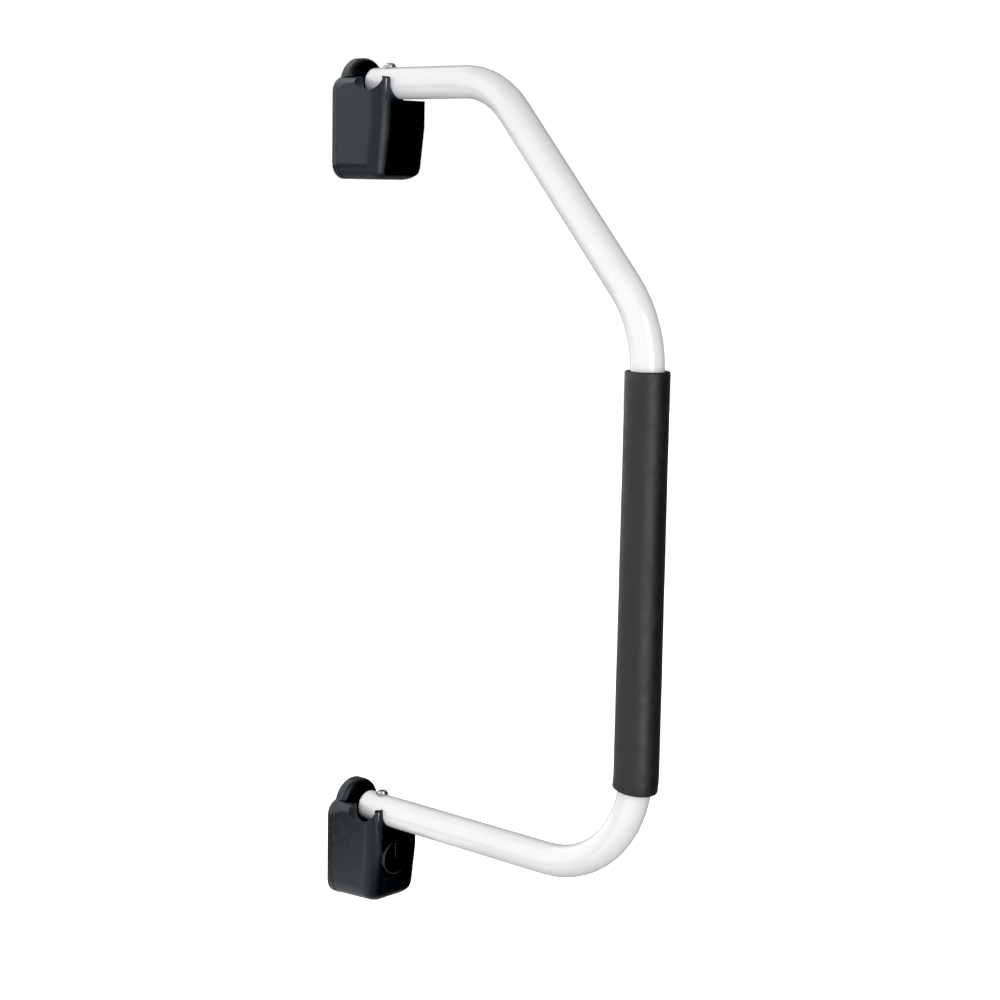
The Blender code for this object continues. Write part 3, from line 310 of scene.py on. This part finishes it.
def grip_rings():
    """The sleeve's rings as run and radius: out of the bore's upper mouth, down the skin, and into
    the lower mouth."""
    length = GRIP_TOP - LOWER_BEND_RADIUS + GRIP_FOOT_RUN
    rim_depth = OUTER_RIM[-1][0] * MM
    rings = []
    for radius, profile in ((GRIP_BORE_RADIUS, BORE_MOUTH), (GRIP_TOP_RADIUS, OUTER_RIM)):
        rings += [(depth * MM, radius + out * MM) for depth, out in profile]
    for i in range(1, GRIP_STEPS):
        share = i / GRIP_STEPS
        radius = GRIP_TOP_RADIUS + (GRIP_FOOT_RADIUS - GRIP_TOP_RADIUS) * share ** GRIP_SPREAD
        radius += sum(
            swell * math.sin(share * turns + start) for swell, turns, start in GRIP_BUNCHES
        )
        rings.append((rim_depth + (length - 2 * rim_depth) * share, radius))
    for radius, profile in ((GRIP_FOOT_RADIUS, OUTER_RIM), (GRIP_BORE_RADIUS, BORE_MOUTH)):
        rings += [(length - depth * MM, radius + out * MM) for depth, out in reversed(profile)]
    return rings


def grip_sheet():
    """The sleeve as one closed sheet, by its points and faces. A face lies between two neighbours
    on a ring and the same two on the next ring. The last ring's next is the first, up the bore."""
    points = []
    for run, radius in grip_rings():
        centre, turn = grip_place(run)
        matrix = Matrix.Translation(centre) @ Matrix.Rotation(turn, 4, "X")
        for side in range(GRIP_SIDES):
            angle = math.tau * side / GRIP_SIDES
            points.append(matrix @ Vector((radius * math.cos(angle), radius * math.sin(angle), 0)))
    faces = []
    for first in range(0, len(points), GRIP_SIDES):
        following = (first + GRIP_SIDES) % len(points)
        for side in range(GRIP_SIDES):
            beside = (side + 1) % GRIP_SIDES
            faces.append((first + side, following + side, following + beside, first + beside))
    return points, faces


def make_grip(skin, cut):
    """The foam sleeve: a thick tube pushed over the rail, bunched slightly towards its foot."""
    points, faces = grip_sheet()
    mesh = bpy.data.meshes.new("foam_grip")
    mesh.from_pydata(points, [], faces)
    mesh.materials.append(skin)
    mesh.materials.append(cut)
    for face in mesh.polygons:
        face.use_smooth = True
        face.material_index = int(abs(face.normal.z) > CUT_END_UPRIGHT)
    piece = bpy.data.objects.new("foam_grip", mesh)
    bpy.context.scene.collection.objects.link(piece)
    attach(piece, "rail")
    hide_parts("grip_sleeve")


def make_camera():
    """The camera at the photograph's place, turned and rolled as it was."""
    camera = bpy.data.objects.new("photo_camera", bpy.data.cameras.new("photo_camera"))
    bpy.context.scene.collection.objects.link(camera)
    camera.data.sensor_width = CAMERA_SENSOR
    camera.data.lens = CAMERA_LENS
    camera.data.clip_start = CAMERA_NEAR
    camera.data.clip_end = CAMERA_FAR
    forward = Vector((
        math.sin(CAMERA_AZIMUTH) * math.cos(CAMERA_FALL),
        math.cos(CAMERA_AZIMUTH) * math.cos(CAMERA_FALL),
        -math.sin(CAMERA_FALL),
    ))
    level = Vector((math.cos(CAMERA_AZIMUTH), -math.sin(CAMERA_AZIMUTH), 0))
    upright = level.cross(forward)
    across = level * math.cos(CAMERA_ROLL) + upright * math.sin(CAMERA_ROLL)
    up = upright * math.cos(CAMERA_ROLL) - level * math.sin(CAMERA_ROLL)
    camera.matrix_world = Matrix((
        (across.x, up.x, -forward.x, CAMERA_PLACE.x),
        (across.y, up.y, -forward.y, CAMERA_PLACE.y),
        (across.z, up.z, -forward.z, CAMERA_PLACE.z),
        (0, 0, 0, 1),
    ))
    bpy.context.scene.camera = camera


def toward(degrees_right):
    """The level direction from the rail that lies so many degrees to the photographer's right."""
    angle = math.radians(degrees_right)
    back = Vector((-math.sin(CAMERA_AZIMUTH), -math.cos(CAMERA_AZIMUTH), 0))
    right = Vector((math.cos(CAMERA_AZIMUTH), -math.sin(CAMERA_AZIMUTH), 0))
    return back * math.cos(angle) + right * math.sin(angle)


def patch_of_light(tree, level, height, sides, low, high, strength):
    """One soft patch of the studio, as the light that it gives in a direction."""
    # Value, where the light is gone, where it is full, and how much it then is
    parts = [(height, *low, strength), (height, high[1], high[0], 1.0)]
    if sides:
        middle, full, gone = sides
        aim = {"operation": "DOT_PRODUCT", 1: toward(middle)}
        across = add(tree, "VectorMath", aim, {0: level})
        limits = [math.cos(math.radians(angle)) for angle in (gone, full)]
        parts.append((across.outputs["Value"], *limits, 1.0))
    light = None
    for value, gone_at, full_at, most in parts:
        span = {"From Min": gone_at, "From Max": full_at, "To Max": most}
        soft_edge = {"interpolation_type": "SMOOTHSTEP", **span}
        part = add(tree, "MapRange", soft_edge, {"Value": value}).outputs["Result"]
        if light is not None:
            part = add(tree, "Math", {"operation": "MULTIPLY"}, {0: light, 1: part}).outputs[0]
        light = part
    return light


def hang_lamp(name, place, target, width, height, brightness):
    """A flat lamp with an even face, which the camera doesn't see. Its brightness is the face's
    radiance."""
    data = bpy.data.lights.new(name, "AREA")
    data.shape = "RECTANGLE"
    data.size = width
    data.size_y = height
    data.energy = brightness * math.pi * width * height
    lamp = bpy.data.objects.new(name, data)
    bpy.context.scene.collection.objects.link(lamp)
    facing = (Vector(target) - Vector(place)).to_track_quat("-Z", "Y").to_matrix().to_4x4()
    lamp.matrix_world = Matrix.Translation(place) @ facing
    lamp.visible_camera = False


def hang_lamps():
    """A tall soft box in front to the right, and a white board under the lower bracket."""
    hang_lamp(
        "tall_box", place=(-0.36, -1.30, 0.36), target=(0, -0.15, 0.36),
        width=0.60, height=1.72, brightness=2.8,
    )
    hang_lamp(
        "white_board", place=(-0.30, 0.018, -0.11), target=(-0.30, 0.018, 1.0),
        width=0.60, height=0.156, brightness=0.55,
    )


def make_light():
    """The studio's soft patches over a faint even light. The camera sees plain white instead."""
    world = bpy.data.worlds.new("studio")
    bpy.context.scene.world = world
    world.use_nodes = True
    tree = world.node_tree
    tree.nodes.clear()
    direction = add(tree, "TexCoord").outputs["Generated"]
    height = add(tree, "SeparateXYZ", {}, {"Vector": direction}).outputs["Z"]
    flat = add(tree, "VectorMath", {"operation": "MULTIPLY", 1: (1, 1, 0)}, {0: direction})
    level = add(tree, "VectorMath", {"operation": "NORMALIZE"}, {0: flat.outputs[0]}).outputs[0]
    total = None
    for patch in STUDIO_PATCHES:
        light = patch_of_light(tree, level, height, *patch)
        if total is not None:
            light = add(tree, "Math", {"operation": "ADD"}, {0: total, 1: light}).outputs[0]
        total = light
    total = add(tree, "Math", {"operation": "ADD", 1: EVEN_LIGHT}, {0: total}).outputs[0]
    lit = add(tree, "Background", {"Color": linear("#FFFFFF")}, {"Strength": total})
    plain = add(tree, "Background", {"Color": linear("#FFFFFF"), "Strength": BACKGROUND_WHITE})
    seen = add(tree, "LightPath").outputs["Is Camera Ray"]
    both = add(tree, "MixShader", {}, {0: seen, 1: lit.outputs[0], 2: plain.outputs[0]})
    add(tree, "OutputWorld", {}, {"Surface": both.outputs[0]})


def make_floor():
    """A plain pale floor, a good way under the rail. It doesn't light the rail, so that the light
    stays even."""
    bm = bmesh.new()
    bmesh.ops.create_circle(bm, cap_ends=True, segments=FLOOR_SIDES, radius=FLOOR_RADIUS)
    bmesh.ops.translate(bm, vec=(0, 0, FLOOR_LEVEL), verts=bm.verts)
    mesh = bpy.data.meshes.new("floor")
    bm.to_mesh(mesh)
    bm.free()
    floor = bpy.data.objects.new("floor", mesh)
    bpy.context.scene.collection.objects.link(floor)
    paper, _, shader, _ = finish(
        "floor_paper", ("#FBFBFB", "#F8F8F8"),
        cloud=0.4, gloss=(0.85, 0.95), patch=0.2, grain=0.02, relief=0.1 * MM,
    )
    mesh.materials.append(paper)
    shader.inputs["Emission Color"].default_value = linear("#FFFFFF")
    shader.inputs["Emission Strength"].default_value = FLOOR_GLOW
    floor.visible_diffuse = False
    floor.visible_glossy = False


def set_contrast():
    """Plain colours, with the darkest tones crushed to black as in the photograph."""
    view = bpy.context.scene.view_settings
    view.view_transform = "Standard"
    view.look = "None"
    view.use_curve_mapping = True
    view.curve_mapping.black_level = (BLACK_POINT, BLACK_POINT, BLACK_POINT)
    view.curve_mapping.update()


def main():
    set_contrast()
    make_camera()
    make_light()
    hang_lamps()
    make_floor()

    finishes = {
        "white_coat": powder_coat(),
        "white_plastic": moulded_white(),
        "black_nylon": moulded_nylon(),
        "stainless_steel": metal(
            "turned_stainless_steel", ("#C9C8C5", "#BDBCB9"), (0.22, 0.30), 0.3 * MM,
        ),
        "zinc_steel": metal("zinc_plated_steel", ("#C2C3C4", "#B0B1B4"), (0.30, 0.38), 0.5 * MM),
        "brass": metal("turned_brass", ("#C9A45C", "#BB954C"), (0.25, 0.33), 0.3 * MM),
        "natural_nylon": sheet_nylon(),
    }
    # The nodes that show outside, and the smooth copy that stands for each
    copies = {
        "rail_tube": "coated_rail",
        "lock_knob": "moulded_knob",
        "upper_housing": "upper_moulded_housing",
        "lower_housing": "lower_moulded_housing",
        "upper_wall_plate": "upper_moulded_plate",
        "lower_wall_plate": "lower_moulded_plate",
        "upper_end_cap": "upper_moulded_cap",
        "lower_end_cap": "lower_moulded_cap",
        "upper_pivot_bolt": "upper_turned_bolt",
        "lower_pivot_bolt": "lower_turned_bolt",
        "upper_head_washer": "upper_plain_washer",
        "lower_head_washer": "lower_plain_washer",
    }
    make_grip(foam_skin(), foam_cut())
    slots = {part["node"]: part["material_slot"] for part in frame["record"]["subparts"]}
    for node, slot in sorted(slots.items()):
        if node == "grip_sleeve":
            continue
        if node in copies:
            smooth_copy(node, copies[node], finishes[slot])
            continue
        piece = frame["nodes"][node]
        piece.data.materials.clear()
        piece.data.materials.append(finishes[slot])


main()
